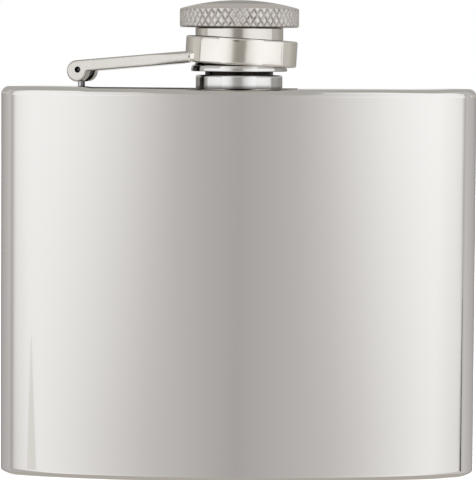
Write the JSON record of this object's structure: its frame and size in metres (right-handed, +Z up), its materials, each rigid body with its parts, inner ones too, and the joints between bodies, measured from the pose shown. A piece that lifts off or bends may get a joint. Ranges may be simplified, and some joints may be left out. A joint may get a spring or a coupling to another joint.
{
  "type": "hip flask",
  "caption": "Curved pocket flask of polished sheet steel, with a knurled screw cap kept on a hinged arm by a captive ring.",
  "frame": {"origin": "on the underside of the base, straight below the middle of the mouth", "axes": "+X to the right along the bowed front face, +Y towards the hollow back, +Z up along the mouth and the cap"},
  "size_m": [0.093, 0.0283, 0.0932],
  "materials": {
    "mirror_steel": "mirror polished stainless steel",
    "polished_steel": "polished steel, faintly warm",
    "satin_steel": "satin bar steel with light peening marks",
    "turned_steel": "lathe-turned steel with fine rings",
    "satin_nickel": "satin, diamond-knurled edge and a smooth domed top",
    "pin_steel": "dark, peened ends",
    "seal_rubber": "matt food-grade rubber"
  },
  "bodies": {
    "flask": {"body_wall": "mirror_steel", "top_cover": "mirror_steel", "base_cover": "mirror_steel", "neck": "turned_steel", "hinge_post": "turned_steel"},
    "arm": {"arm": "satin_steel", "captive_ring": "polished_steel", "hinge_pin": "pin_steel"},
    "cap": {"cap_head": "satin_nickel", "cap_collar": "turned_steel", "cap_seal": "seal_rubber"}
  },
  "joints": [
    {"name": "arm_swing", "type": "hinge", "parent": "flask", "child": "arm", "pos_m": [-0.0305, 0.0056, 0.07955], "axis": [-0.342, -0.9397, 0], "range_deg": [0, 179]},
    {"name": "cap_spin", "type": "hinge", "parent": "arm", "child": "cap", "pos_m": [0, 0, 0.0878], "axis": [0, 0, 1], "continuous": true}
  ]
}
